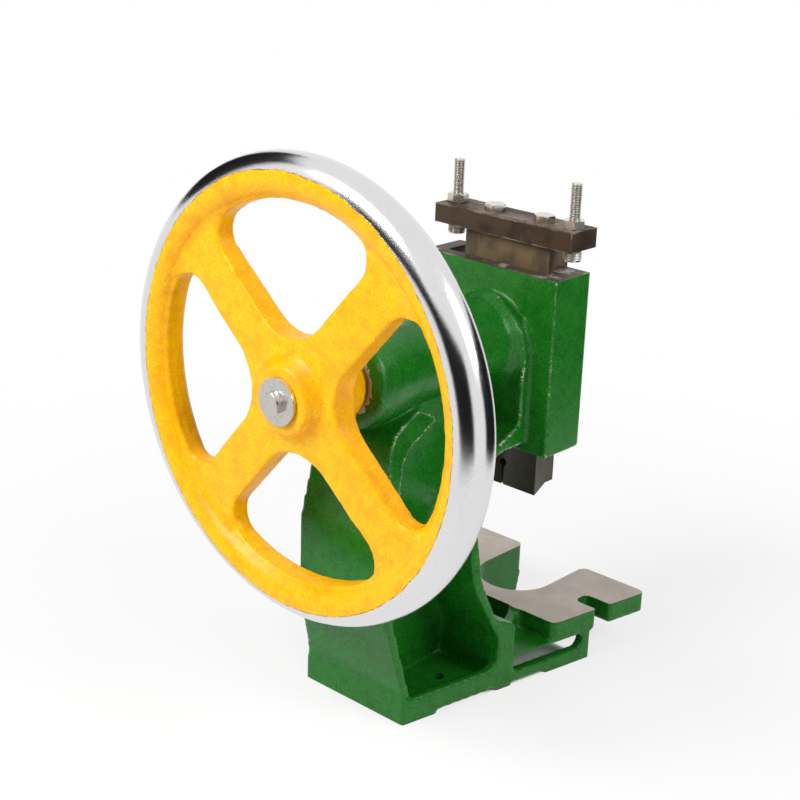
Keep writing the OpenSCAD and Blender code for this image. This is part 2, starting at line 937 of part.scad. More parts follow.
// The clamp screw comes from the left, with its head sunk in the ram, and crosses the slit
module clamp_screw_path(outer, clearance) {
    inner = slit_offset + slit_width / 2 + 3 * clamp_screw_radius;
    translate([-outer, clamp_screw_reach, clamp_screw_height])
        rotate([0, 90, 0]) {
            cylinder(r = 1.5 * clamp_screw_radius + clearance, h = outer - clamp_screw_seat);
            cylinder(r = clamp_screw_radius + clearance, h = outer + inner + 2 * clearance);
        }
}

module shank_clamp_screw() {
    color("#55585c")
        placed()
            clamp_screw_path(clamp_screw_seat + 2 * clamp_screw_radius, 0);
}

module gib_strip() {
    color("#8f9296")
        placed()
            translate([0, 0, head_bottom])
                linear_extrude(head_below + head_above)
                    polygon([
                        [-gib_outer, ram_rear], [-ram_half_width - slide_clearance, ram_rear],
                        [-ram_half_width - slide_clearance, ram_rear + small_edge],
                        [-ram_neck_half_width - slide_clearance, ram_rear + dovetail_depth],
                        [-ram_neck_half_width - slide_clearance, head_front],
                        [-gib_outer, head_front]
                    ]);
}

module gib_screws() {
    color("#c9ccd0")
        placed()
            at_gib_screws(gib_outer)
                cylinder(r = gib_screw_radius, h = gib_gap + gib_wall + gib_nut_height + gib_screw_tail);
}

module gib_lock_nuts() {
    color("#c9ccd0")
        placed()
            at_gib_screws(head_left)
                difference() {
                    hexagon(gib_nut_width, gib_nut_height);
                    translate([0, 0, -overrun])
                        cylinder(r = gib_screw_radius + bore_clearance, h = gib_nut_height + 2 * overrun);
                }
}

module cross_bar() {
    color("#6b6052")
        placed()
            difference() {
                translate([-bar_length / 2, bar_rear, ram_top])
                    cube([bar_length, bar_depth, bar_thickness]);
                for (offset = concat(bar_bolt_offsets, [-stop_offset, stop_offset]))
                    translate([offset, bar_middle, ram_top - overrun])
                        cylinder(r = bolt_radius + bore_clearance, h = bar_thickness + 2 * overrun);
            }
}

module bar_bolt(offset) {
    color("#c9ccd0")
        placed()
            translate([offset, bar_middle, bar_top]) {
                hexagon(hex_width, bolt_head_height);
                translate([0, 0, -bar_thickness - bar_bolt_depth])
                    cylinder(r = bolt_radius, h = bar_thickness + bar_bolt_depth + bolt_head_height / 2);
            }
}

module bar_bolt_left() {
    bar_bolt(bar_bolt_offsets[0]);
}

module bar_bolt_right() {
    bar_bolt(bar_bolt_offsets[1]);
}

module stop_screw(side) {
    color("#c9ccd0")
        placed()
            translate([side * stop_offset, bar_middle, ram_top - stop_gap - stop_head_height]) {
                cylinder(r = stop_head_radius, h = stop_head_height);
                cylinder(r = bolt_radius, h = stop_head_height + stop_length);
            }
}

module stop_screw_left() {
    stop_screw(-1);
}

module stop_screw_right() {
    stop_screw(1);
}

module stop_nut(side) {
    color("#c9ccd0")
        placed()
            translate([side * stop_offset, bar_middle, bar_top])
                difference() {
                    hexagon(hex_width, nut_height);
                    translate([0, 0, -overrun])
                        cylinder(r = bolt_radius + bore_clearance, h = nut_height + 2 * overrun);
                }
}

module stop_nut_left() {
    stop_nut(-1);
}

module stop_nut_right() {
    stop_nut(1);
}

frame_casting();
rear_bush();
front_bush();
thrust_washer();
crankshaft();
wheel_key();
handwheel();
wheel_washer();
wheel_bolt();
slider_block();
ram();
shank_clamp_screw();
gib_strip();
gib_screws();
gib_lock_nuts();
cross_bar();
bar_bolt_left();
bar_bolt_right();
stop_screw_left();
stop_screw_right();
stop_nut_left();
stop_nut_right();
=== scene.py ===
import json
import math

import bpy
import numpy as np
from mathutils import Matrix, Vector

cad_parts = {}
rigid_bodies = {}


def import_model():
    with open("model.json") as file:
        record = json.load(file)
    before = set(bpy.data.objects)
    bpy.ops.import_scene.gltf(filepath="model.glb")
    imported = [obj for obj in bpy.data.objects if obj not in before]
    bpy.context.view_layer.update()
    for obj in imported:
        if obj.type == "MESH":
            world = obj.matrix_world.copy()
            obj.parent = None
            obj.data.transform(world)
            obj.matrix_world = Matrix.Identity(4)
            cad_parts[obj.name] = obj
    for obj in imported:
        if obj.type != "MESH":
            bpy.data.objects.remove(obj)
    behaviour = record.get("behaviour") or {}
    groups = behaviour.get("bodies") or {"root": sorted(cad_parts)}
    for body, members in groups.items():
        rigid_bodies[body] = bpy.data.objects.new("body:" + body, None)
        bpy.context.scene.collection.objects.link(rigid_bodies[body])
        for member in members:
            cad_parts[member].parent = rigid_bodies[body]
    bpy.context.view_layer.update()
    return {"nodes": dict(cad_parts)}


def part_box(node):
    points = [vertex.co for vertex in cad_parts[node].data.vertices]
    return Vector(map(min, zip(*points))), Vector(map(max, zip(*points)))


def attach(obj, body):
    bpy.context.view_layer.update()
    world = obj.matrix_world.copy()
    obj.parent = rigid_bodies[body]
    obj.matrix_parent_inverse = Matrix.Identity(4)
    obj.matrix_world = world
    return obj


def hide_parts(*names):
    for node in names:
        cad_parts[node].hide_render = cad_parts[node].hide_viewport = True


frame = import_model()

# ---------------------------------------------------------------------------------------
# The frame: one grey iron sand casting, dressed, enamelled green all over and then milled
# on the table, the pads, the head's top and front and the ram's channel. Its edges are
# soft where they are cast and sharp where a cutter has been over them.
# ---------------------------------------------------------------------------------------


def only(obj):
    """Selects one object alone and makes it the active one."""
    if bpy.context.object and bpy.context.object.mode != "OBJECT":
        bpy.ops.object.mode_set(mode="OBJECT")
    for other in bpy.context.view_layer.objects:
        other.select_set(False)
    bpy.context.view_layer.objects.active = obj
    obj.select_set(True)
    return obj


def apply_modifier(obj, kind, **settings):
    """Adds one modifier, sets it and applies it at once."""
    only(obj)
    modifier = obj.modifiers.new(kind.title(), kind)
    for name, value in settings.items():
        setattr(modifier, name, value)
    bpy.ops.object.modifier_apply(modifier=modifier.name)
    return obj


def place(obj, name):
    """Gives the active primitive its name and puts its place into its mesh."""
    obj.name = obj.data.name = name
    only(obj)
    bpy.ops.object.transform_apply(location=True, rotation=True, scale=True)
    return obj


def cuboid(name, low, high):
    low, high = Vector(low), Vector(high)
    bpy.ops.mesh.primitive_cube_add(size=1, location=(low + high) / 2, scale=high - low)
    return place(bpy.context.object, name)


TURNS = {"x": (0, math.pi / 2, 0), "y": (-math.pi / 2, 0, 0), "z": (0, 0, 0)}


def rod(name, start, length, radius, axis="z", end_radius=None, sides=64):
    """A cylinder or a cone from its start face along an axis of the machine."""
    step = Vector([length * (axis == letter) for letter in "xyz"])
    bpy.ops.mesh.primitive_cone_add(
        vertices=sides, radius1=radius, radius2=radius if end_radius is None else end_radius,
        depth=length, location=Vector(start) + step / 2, rotation=TURNS[axis])
    return place(bpy.context.object, name)


def combine(obj, tool, operation="DIFFERENCE", solver="MANIFOLD"):
    """Cuts, adds or keeps what the tool covers, and takes the tool away."""
    apply_modifier(obj, "BOOLEAN", object=tool, operation=operation, solver=solver)
    bpy.data.objects.remove(tool)
    return obj


def pick_faces(obj, test):
    """Leaves the object in edit mode with the faces selected that pass the test."""
    only(obj)
    bpy.ops.object.mode_set(mode="EDIT")
    bpy.ops.mesh.select_mode(type="FACE")
    bpy.ops.mesh.select_all(action="DESELECT")
    bpy.ops.object.mode_set(mode="OBJECT")
    for face in obj.data.polygons:
        face.select = test(face.center, face.normal)
    bpy.ops.object.mode_set(mode="EDIT")


def copy_of(node, name):
    """The CAD node's shape as a closed mesh of its own."""
    piece = bpy.data.objects.new(name, frame["nodes"][node].data.copy())
    bpy.context.scene.collection.objects.link(piece)
    only(piece)
    bpy.ops.object.mode_set(mode="EDIT")
    bpy.ops.mesh.select_all(action="SELECT")
    bpy.ops.mesh.remove_doubles(threshold=5e-6)
    bpy.ops.mesh.customdata_custom_splitnormals_clear()
    bpy.ops.object.mode_set(mode="OBJECT")
    piece.data.materials.clear()
    return piece


def soften(obj, hollow_rounds, edge_rounds, hollow_grow=3):
    """Fills inner corners as a pattern maker's fillets do, then eases every edge."""
    mesh = obj.data
    count = len(mesh.vertices)
    points, normals = np.empty(count * 3), np.empty(count * 3)
    mesh.vertices.foreach_get("co", points)
    mesh.vertices.foreach_get("normal", normals)
    points, normals = points.reshape(-1, 3), normals.reshape(-1, 3)
    ends = np.empty(len(mesh.edges) * 2, int)
    mesh.edges.foreach_get("vertices", ends)
    a, b = ends[::2], ends[1::2]
    total, links = np.zeros((count, 3)), np.zeros(count)
    for here, there in ((a, b), (b, a)):
        np.add.at(total, here, points[there])
        np.add.at(links, here, 1)
    lift = ((total / links[:, None] - points) * normals).sum(1)
    hollow = lift > np.sqrt(((points[a] - points[b]) ** 2).sum(1)).mean() * 0.12
    only(obj)
    bpy.ops.object.mode_set(mode="EDIT")
    bpy.ops.mesh.select_mode(type="VERT")
    bpy.ops.mesh.select_all(action="DESELECT")
    bpy.ops.object.mode_set(mode="OBJECT")
    mesh.vertices.foreach_set("select", hollow)
    bpy.ops.object.mode_set(mode="EDIT")
    for _ in range(hollow_grow):
        bpy.ops.mesh.select_more()
    bpy.ops.mesh.vertices_smooth(factor=0.5, repeat=hollow_rounds)
    bpy.ops.object.mode_set(mode="OBJECT")
    apply_modifier(obj, "SMOOTH", factor=0.5, iterations=edge_rounds)


def thin_out(obj, most):
    """Merges the faces of flat places until the mesh has at most so many triangles."""
    now = 2 * len(obj.data.polygons)
    if now > most:
        apply_modifier(obj, "DECIMATE", ratio=most / now)


def smooth_shading(obj, degrees=35):
    only(obj)
    bpy.ops.object.shade_smooth_by_angle(angle=math.radians(degrees))


class Wire:
    """One output in a material: sums of wires and numbers add its Math nodes."""

    def __init__(self, tree, socket=None):
        self.tree, self.socket = tree, socket

    def node(self, kind, settings=None, inputs=None, output=0):
        made = self.tree.nodes.new("ShaderNode" + kind)
        for name, value in (settings or {}).items():
            setattr(made, name, value)
        for name, value in (inputs or {}).items():
            if isinstance(value, Wire):
                self.tree.links.new(value.socket, made.inputs[name])
            else:
                made.inputs[name].default_value = value
        return Wire(self.tree, made.outputs[output] if len(made.outputs) else None)

    def math(self, operation, first, second=0.0):
        return self.node("Math", {"operation": operation}, {0: first, 1: second})

    def __add__(self, other):
        return self.math("ADD", self, other)

    def __sub__(self, other):
        return self.math("SUBTRACT", self, other)

    def __mul__(self, other):
        return self.math("MULTIPLY", self, other)

    def __rsub__(self, other):
        return self.math("SUBTRACT", other, self)

    __radd__, __rmul__ = __add__, __mul__

    def ramp(self, low, high):
        """Rises smoothly from 0 at low to 1 at high."""
        if high < low:
            return 1 - self.ramp(high, low)
        return self.node("MapRange", {"interpolation_type": "SMOOTHSTEP"},
                         {"Value": self, "From Min": low, "From Max": high})

    def noise(self, size, detail=2.0, stretch=(1, 1, 1), seed=0.0):
        """Soft noise whose lumps are about size metres across; self is the place."""
        spot = self.node("VectorMath", {"operation": "MULTIPLY_ADD"},
                         {0: self, 1: tuple(s / size for s in stretch), 2: (seed, seed, seed)})
        return self.node("TexNoise", None, {"Vector": spot, "Scale": 1.0, "Detail": detail})

    def part(self, letter):
        """The X, Y or Z of a place or direction."""
        return self.node("SeparateXYZ", None, {0: self}, letter)

    def blend(self, mask, colour):
        """This colour, changed to the other one where the mask is 1."""
        other = colour if isinstance(colour, Wire) else (*colour, 1)
        return self.node("Mix", {"data_type": "RGBA"}, {0: mask, 6: self, 7: other}, 2)

    def colour(self, value):
        """A plain colour to blend others into."""
        made = self.node("RGB")
        made.socket.default_value = (*value, 1)
        return made


def new_finish(name):
    """An empty material, and the wire of the place on the piece, in metres."""
    material = bpy.data.materials.new(name)
    material.use_nodes = True
    material.node_tree.nodes.clear()
    return material, Wire(material.node_tree).node("TexCoord", output="Object")


def surface(colour, roughness, height, metallic=0.0, **fixed):
    """Joins the colour, roughness and relief, in metres, to the material's shader."""
    bump = colour.node("Bump", None, {"Strength": 1.0, "Distance": 1.0, "Height": height})
    shader = colour.node("BsdfPrincipled", None, {
        "Base Color": colour, "Roughness": roughness, "Metallic": metallic, "Normal": bump,
        **{name.replace("_", " "): value for name, value in fixed.items()}})
    colour.node("OutputMaterial", None, {"Surface": shader})


# Green enamel on rough casting: orange peel, soft mottling, darker where it lies thick, painted
# glints as pale specks, chips on high edges, and a dark line where the table's milling cut it
enamel, spot = new_finish("green_enamel")
peel = spot.noise(0.0015, 2.0)
lumps = spot.noise(0.011, 3.0, seed=4.0)
mottle = spot.noise(0.03, 4.0, seed=9.0)
height_z = spot.part("Z")
edge_share = spot.node("NewGeometry", output="Pointiness")
green = spot.colour((0.005, 0.11, 0.006)).blend(peel.ramp(0.35, 0.68), (0.013, 0.2, 0.013))
green = green.blend(mottle.ramp(0.52, 0.78) * 0.45, (0.022, 0.21, 0.02))
green = green.blend(lumps.ramp(0.6, 0.3) * 0.35, (0.003, 0.07, 0.004))
# Fine pale specks that the relief doesn't have: painted glints on the enamel
green = green.blend(spot.noise(0.001, 1.0, seed=15.0).ramp(0.6, 0.72) * 0.4, (0.06, 0.3, 0.05))
chips = edge_share.ramp(0.515, 0.55) * spot.noise(0.0022, 1.0, seed=2.0).ramp(0.47, 0.57)
chips = chips * spot.noise(0.018, 1.0, seed=6.0).ramp(0.36, 0.56) * height_z.ramp(0.19, 0.21)
green = green.blend(chips, (0.62, 0.66, 0.5))
under_milling = height_z.ramp(0.0482, 0.0486) * height_z.ramp(0.0496, 0.0492)
dark_line = under_milling * spot.part("Y").ramp(0.077, 0.079)
green = green.blend(dark_line * spot.noise(0.006, 2.0, seed=17.0).ramp(0.34, 0.5),
                    (0.004, 0.012, 0.004))
surface(green, 0.2 + 0.16 * mottle,
        0.00013 * peel + 0.00032 * lumps + 0.00003 * spot.noise(0.0006, 1.0),
        Specular_IOR_Level=0.3)

# Bare grey iron as the cutter left it: brownish, with fine marks, and oily on the head's top
bare_iron, spot = new_finish("bare_iron")
marks = spot.noise(0.0009, 2.0, stretch=(1, 0.06, 1))
stain = spot.noise(0.02, 4.0, seed=3.0)
pores = spot.noise(0.0013, 3.0, seed=7.0)
iron = spot.colour((0.53, 0.465, 0.41)).blend(stain.ramp(0.35, 0.7) * 0.5, (0.42, 0.36, 0.3))
iron = iron.blend(pores.ramp(0.62, 0.75) * 0.4, (0.2, 0.155, 0.115))
oily = spot.part("Z").ramp(0.36, 0.368) * spot.noise(0.014, 4.0, seed=19.0).ramp(0.3, 0.5)
iron = iron.blend(oily * 0.9, (0.05, 0.036, 0.02))
surface(iron, 0.46 + 0.2 * stain, 0.00002 * marks + 0.00002 * pores, metallic=0.55)

voxel = 0.0018
fillet_rounds = 26
allowance = 0.004
slide = 0.00012
hair = 1e-4
inset = 0.0005
table_top = 0.049
table_rear = 0.0787
table_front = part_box("frame_casting")[1].y
foot_thick = 0.0135
gib_low, gib_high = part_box("gib_strip")
ram_low, ram_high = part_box("ram")
head_low, head_high = 0.206, 0.370
head_front = gib_high.y
channel_left, channel_right = gib_low.x - 0.0026, 0.0492
channel_rear = gib_low.y - slide
shaft = Vector((0, 0, 0.307))
tube_rear = -0.111

casting = copy_of("frame_casting", "casting")


def grow(obj, test, step):
    """Leaves metal on the faces that will be milled."""
    pick_faces(obj, test)
    bpy.ops.mesh.extrude_region_move(TRANSFORM_OT_translate={"value": step})
    bpy.ops.object.mode_set(mode="OBJECT")


grow(casting, lambda c, n: n.z > 0.99 and abs(c.z - table_top) < hair
     and c.y > table_rear - 0.002, (0, 0, allowance))
grow(casting, lambda c, n: n.z > 0.99 and abs(c.z - head_high) < hair, (0, 0, allowance))
grow(casting, lambda c, n: n.y > 0.99 and abs(c.y - head_front) < hair and c.z > head_low,
     (0, allowance, 0))
grow(casting, lambda c, n: n.z < -0.99 and c.z < hair, (0, 0, -allowance))

# The channel, the bore and the bench holes are filled while the casting is softened, and
# cut again afterwards, so that their edges come out sharp
plugs = [
    cuboid("plug", (channel_left - 0.001, channel_rear - 0.001, head_low + inset),
           (channel_right, head_front + allowance - inset, head_high + allowance - inset)),
    rod("plug", (0, tube_rear, shaft.z), 0.19, 0.02, "y"),
]
bench_hole_y = 0.068 - 0.0913
bench_holes = [(-0.040, bench_hole_y), (0.040, bench_hole_y)]
for x, y in bench_holes:
    plugs.append(rod("plug", (x, y, -allowance + inset), foot_thick + allowance, 0.007))
only(casting)
for plug in plugs:
    plug.select_set(True)
bpy.ops.object.join()
apply_modifier(casting, "REMESH", mode="VOXEL", voxel_size=voxel)
soften(casting, fillet_rounds, 3)
thin_out(casting, 150000)


def prism(name, outline, low, high):
    """A plan outline drawn at one height and raised to another."""
    mesh = bpy.data.meshes.new(name)
    mesh.from_pydata([(x, y, low) for x, y in outline], [], [range(len(outline))])
    obj = bpy.data.objects.new(name, mesh)
    bpy.context.scene.collection.objects.link(obj)
    only(obj)
    bpy.ops.object.mode_set(mode="EDIT")
    bpy.ops.mesh.select_all(action="SELECT")
    bpy.ops.mesh.extrude_region_move(TRANSFORM_OT_translate={"value": (0, 0, high - low)})
    bpy.ops.mesh.select_all(action="SELECT")
    bpy.ops.mesh.normals_make_consistent(inside=False)
    bpy.ops.object.mode_set(mode="OBJECT")
    return obj


past, wide = 0.02, 0.2
ram_half, neck_half = ram_high.x, 0.036
bore, disc_room, bench_hole, gib_thread = 0.01905, 0.030, 0.0055, 0.00405
channel = [
    (channel_left, channel_rear), (ram_half + slide, channel_rear),
    (ram_half + slide, ram_low.y + 0.001), (neck_half + slide, ram_low.y + 0.032),
    (neck_half + slide, head_front + past), (channel_left, head_front + past)]
cutters = [
    cuboid("cutter", (-wide, table_rear - 0.004, table_top),
           (wide, table_front + past, table_top + past)),
    cuboid("cutter", (-wide, 0.06, head_high), (wide, head_front + past, head_high + past)),
    cuboid("cutter", (-wide, head_front, head_low - past),
           (wide, head_front + past, head_high + past)),
    cuboid("cutter", (-wide, -wide, -past), (wide, table_front + past, 0)),
    prism("cutter", channel, head_low - past, head_high + past),
    rod("cutter", (0, -wide, shaft.z), 2 * wide, bore, "y"),
    rod("cutter", (0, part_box("front_bush")[1].y, shaft.z), 0.08, disc_room, "y"),
]
for x, y in bench_holes:
    cutters.append(rod("cutter", (x, y, -past), 0.05, bench_hole))
screw_heights = [0.240, 0.288, 0.336]
gib_reach = gib_low.y + 0.016
for height in screw_heights:
    cutters.append(rod("cutter", (-0.12, gib_reach, height), 0.06, gib_thread, "x"))

# The front corners of the table's two lugs are rounded
lug_round, lug_inner, lug_outer = 0.008, 0.0375, 0.112
for side in (-1, 1):
    for edge, inward in ((lug_inner, 1), (lug_outer, -1)):
        x, far = side * (edge - inset * inward), side * (edge + lug_round * inward)
        corner = cuboid("corner", (min(x, far), table_front - lug_round, 0.02),
                        (max(x, far), table_front + inset, table_top + allowance))
        kept = rod("round", (far, table_front - lug_round, 0), 0.1, lug_round)
        cutters.append(combine(corner, kept))
for cutter in cutters:
    combine(casting, cutter)
smooth_shading(casting, 40)
casting.data.materials.clear()
casting.data.materials.append(enamel)
casting.data.materials.append(bare_iron)
for face in casting.data.polygons:
    x, y, z = face.center
    up = face.normal.z > 0.98
    milled = (
        up and abs(z - table_top) < 2 * hair and y > table_rear - 0.005
        or up and abs(z - head_high) < 2 * hair
        or face.normal.z < -0.98 and z < 2 * hair
        or abs(y - head_front) < hair and z > head_low
        or z > head_low - 0.002 and y > channel_rear - 2 * hair
        and channel_left - 2 * hair < x < ram_half + 2 * hair
        or math.hypot(x, z - shaft.z) < disc_room + inset and y > tube_rear - 0.001
    )
    face.material_index = 1 if milled else 0
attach(casting, "frame")
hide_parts("frame_casting")

# ---------------------------------------------------------------------------------------
# The two bushes and the thrust washer in the casting's bore, and the block that slides in
# the ram: turned bronze. They show only where the machine is opened, so the CAD shapes
# keep their place.
# ---------------------------------------------------------------------------------------
bronze, spot = new_finish("turned_bronze")
marks = spot.noise(0.0006, 2.0, stretch=(0.1, 1, 0.1))
tarnish = spot.noise(0.008, 3.0).ramp(0.4, 0.7) * 0.5
surface(spot.colour((0.45, 0.27, 0.11)).blend(tarnish, (0.3, 0.17, 0.07)),
        0.3 + 0.15 * marks, 0.00001 * marks, metallic=1.0)


def dress(node, finish):
    """Keeps a CAD node as it is and gives it its finish."""
    slots = frame["nodes"][node].data.materials
    slots.clear()
    slots.append(finish)


for node in ("rear_bush", "front_bush", "thrust_washer", "slider_block"):
    dress(node, bronze)

# ---------------------------------------------------------------------------------------
# The crankshaft: turned steel with its disc and pin in one piece, and the key that the
# handwheel drives it by.
# ---------------------------------------------------------------------------------------
turned_steel, spot = new_finish("turned_steel")
marks = spot.noise(0.0005, 2.0, stretch=(0.1, 1, 0.1))
oil = spot.noise(0.01, 3.0).ramp(0.4, 0.75) * 0.6
surface(spot.colour((0.42, 0.42, 0.43)).blend(oil, (0.24, 0.22, 0.2)),
        0.26 + 0.15 * marks, 0.00001 * marks, metallic=1.0)
for node in ("crankshaft", "wheel_key"):
    dress(node, turned_steel)

# ---------------------------------------------------------------------------------------
# The handwheel: cast iron with four spokes, yellow enamel on the spokes and the inner half
# of the rim, and the outer half of the rim turned and polished bright.
# ---------------------------------------------------------------------------------------
wheel_low, wheel_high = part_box("handwheel")
rim_section = 0.0185
rim_radius = wheel_high.x - rim_section
rim_plane = -0.1588
hub_end = wheel_low.y

wheel_finish, spot = new_finish("yellow_enamel_and_polish")
off_axis = spot.node("VectorMath", {"operation": "SUBTRACT"}, {0: spot, 1: (0, 0, shaft.z)})
flattened = off_axis.node("VectorMath", {"operation": "MULTIPLY"}, {0: off_axis, 1: (1.04, 0, 1)})
radius = flattened.node("VectorMath", {"operation": "LENGTH"}, {0: flattened}, "Value")
ragged = (radius + 0.003 * (spot.noise(0.02, 2.0, seed=5.0) - 0.5)
          + 0.001 * (spot.noise(0.003, 1.0) - 0.5))
polish_from = 0.181
bright = ragged.ramp(polish_from, polish_from + 0.0003)
seam = ragged.ramp(polish_from - 0.0008, polish_from - 0.0002) * (1 - bright)
peel = spot.noise(0.0018, 2.0, seed=1.0)
lumps = spot.noise(0.012, 3.0, seed=2.0)
grit = spot.noise(0.0007, 2.0, seed=8.0)
lathe = spot.noise(0.0004, 2.0, stretch=(0.3, 3.0, 0.3))
yellow = spot.colour((0.9, 0.41, 0.0)).blend(peel.ramp(0.35, 0.68), (1.0, 0.54, 0.0))
yellow = yellow.blend(lumps.ramp(0.58, 0.32) * 0.5, (0.82, 0.3, 0.0))
# Fine dark-orange specks that the relief doesn't have: painted shade of the enamel's grain
yellow = yellow.blend(spot.noise(0.0011, 1.0, seed=12.0).ramp(0.66, 0.76) * 0.6, (0.5, 0.21, 0.0))
yellow = yellow.blend(seam * spot.noise(0.006, 1.0, seed=3.0).ramp(0.4, 0.6) * 0.8,
                      (0.06, 0.04, 0.02))
metal = spot.colour((0.74, 0.74, 0.75)).blend(grit.ramp(0.5, 0.75) * 0.5, (0.5, 0.49, 0.48))
surface(yellow.blend(bright, metal),
        (0.28 + 0.12 * peel) * (1 - bright) + (0.1 + 0.1 * grit) * bright,
        (1 - bright) * (0.00014 * peel + 0.0003 * lumps + 0.00018)
        + bright * (0.00006 * grit + 0.000004 * lathe),
        metallic=bright, Specular_IOR_Level=0.25)

# The hub's bore is filled until the wheel is softened; its outer end widens as a cone
wheel = copy_of("handwheel", "wheel")
plug_length = wheel_high.y - hub_end - 0.07 + 0.045
boss_length, boss_small, boss_wide = 0.016, 0.0285, 0.0415
plug = rod("plug", (0, hub_end + inset, shaft.z), plug_length, 0.017, "y")
boss = rod("boss", (0, hub_end + 0.0012, shaft.z), boss_length, boss_small, "y",
           end_radius=boss_wide)
only(wheel)
plug.select_set(True)
boss.select_set(True)
bpy.ops.object.join()
apply_modifier(wheel, "REMESH", mode="VOXEL", voxel_size=voxel)
soften(wheel, fillet_rounds, 9)
thin_out(wheel, 110000)

# The plain rim is a true ring, so the cast one draws back under it
points = np.empty(len(wheel.data.vertices) * 3)
wheel.data.vertices.foreach_get("co", points)
points = points.reshape(-1, 3)
across = points - np.array([0, rim_plane, shaft.z])
around = np.hypot(across[:, 0], across[:, 2])
ring = np.stack([across[:, 0] / around * rim_radius, np.zeros(len(across)),
                 across[:, 2] / around * rim_radius], 1)
out = across - ring
reach = np.linalg.norm(out, axis=1)
skin, draw_back = 0.0012, 0.0006
share = np.clip((reach - rim_section + skin) / 0.002, 0, 1)
drawn = np.where(reach < rim_section + skin,
                 draw_back * (1 - share * share * (3 - 2 * share)), 0)
outward = out / np.maximum(reach, 1e-6)[:, None]
points -= outward * drawn[:, None] * (reach > rim_section * 0.8)[:, None]
wheel.data.vertices.foreach_set("co", points.ravel())
wheel.data.update()
bpy.ops.mesh.primitive_torus_add(
    major_radius=rim_radius, minor_radius=rim_section, major_segments=256, minor_segments=56,
    location=(0, rim_plane, shaft.z), rotation=(math.pi / 2, 0, 0))
combine(wheel, place(bpy.context.object, "ring"), "UNION")
combine(wheel, rod("cutter", (0, hub_end - 0.01, shaft.z), 0.1, 0.01505, "y"))
key_low, key_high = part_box("wheel_key")
grown = Vector((0.0001, 0.0001, 0.0001))
combine(wheel, cuboid("cutter", key_low - grown, key_high + grown))
smooth_shading(wheel, 40)
wheel.data.materials.clear()
wheel.data.materials.append(wheel_finish)
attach(wheel, "crank")
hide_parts("handwheel")

# ---------------------------------------------------------------------------------------
# Screws, nuts and bolts: bright zinc plate over steel, with rolled threads, chamfered
# hexagons and knurled socket heads on the two stop screws.
# ---------------------------------------------------------------------------------------
zinc, spot = new_finish("zinc_plate")
cloud = spot.noise(0.004, 3.0)
plate = spot.colour((0.72, 0.7, 0.66)).blend(cloud.ramp(0.4, 0.7) * 0.4, (0.5, 0.48, 0.45))
# Faces turned away from up are painted darker: a painted dark reflection on the sides
upright = spot.node("NewGeometry", output="Normal").part("Z")
plate = plate.blend(upright.ramp(0.6, 0.1) * 0.35, (0.3, 0.28, 0.25))
# Hollow places such as thread roots are painted near black: painted shade in the grooves
groove_shade = spot.node("NewGeometry", output="Pointiness").ramp(0.5, 0.46)
plate = plate.blend(groove_shade * 0.9, (0.03, 0.026, 0.022))
surface(plate, 0.2 + 0.16 * cloud, 0.000012 * spot.noise(0.0007, 2.0), metallic=1.0)


def turned(obj, axis, centre):
    """Turns a piece that was made upright at the origin, and puts it in its place."""
    obj.rotation_euler = TURNS[axis]
    obj.location = centre
    return place(obj, obj.name)


def thread(name, length, radius, pitch=0.0015, end_break=0.0009):
    """An upright threaded rod from the origin: one tooth swept up a helix, then trimmed."""
    root = radius - 0.61 * pitch
    mesh = bpy.data.meshes.new(name)
    tooth = [(root, 0, 0), (radius, 0, 0.42 * pitch), (radius, 0, 0.58 * pitch), (root, 0, pitch)]
    mesh.from_pydata([(x, y, z - 2 * pitch) for x, y, z in tooth], [(0, 1), (1, 2), (2, 3)], [])
    obj = bpy.data.objects.new(name, mesh)
    bpy.context.scene.collection.objects.link(obj)
    apply_modifier(obj, "SCREW", angle=2 * math.pi, screw_offset=pitch, steps=24, render_steps=24,
                   iterations=math.ceil(length / pitch) + 4, axis="Z", use_normal_calculate=True)
    bpy.ops.object.mode_set(mode="EDIT")
    bpy.ops.mesh.select_all(action="SELECT")
    bpy.ops.mesh.remove_doubles(threshold=1e-6)
    bpy.ops.mesh.select_all(action="DESELECT")
    bpy.ops.mesh.select_mode(type="EDGE")
    bpy.ops.mesh.select_non_manifold()
    bpy.ops.mesh.fill()
    bpy.ops.mesh.select_all(action="SELECT")
    bpy.ops.mesh.normals_make_consistent(inside=False)
    bpy.ops.object.mode_set(mode="OBJECT")
    blank = rod("blank", (0, 0, 0), length, radius + 0.0002, sides=48)
    pick_faces(blank, lambda c, n: abs(n.z) > 0.9)
    bpy.ops.mesh.bevel(offset=end_break, segments=1)
    bpy.ops.object.mode_set(mode="OBJECT")
    return combine(obj, blank, "INTERSECT", "EXACT")


def hexagon(name, low, width, height, hole=0.0, both_ends=False):
    """An upright hexagon over the origin, chamfered on top or on both ends."""
    obj = rod(name, (0, 0, low), height, width / math.sqrt(3), sides=6)
    flat = width * 0.48
    spread = flat + math.tan(math.radians(60)) * height
    chamfer = rod("chamfer", (0, 0, low), height, spread, end_radius=flat)
    combine(obj, chamfer, "INTERSECT", "EXACT")
    if both_ends:
        chamfer = rod("chamfer", (0, 0, low), height, flat, end_radius=spread)
        combine(obj, chamfer, "INTERSECT", "EXACT")
    if hole:
        combine(obj, rod("hole", (0, 0, low - 0.01), height + 0.02, hole), solver="EXACT")
        sink = rod("sink", (0, 0, low - 1e-5), hole * 0.2, hole * 1.12, end_radius=hole * 0.92)
        combine(obj, sink, solver="EXACT")
    return apply_modifier(obj, "BEVEL", width=0.00025, segments=2, limit_method="ANGLE",
                          angle_limit=math.radians(30))


def joined(name, *parts):
    """Makes one piece of several, under a name of its own."""
    only(parts[0])
    for part in parts[1:]:
        part.select_set(True)
    bpy.ops.object.join()
    parts[0].name = parts[0].data.name = name
    return parts[0]


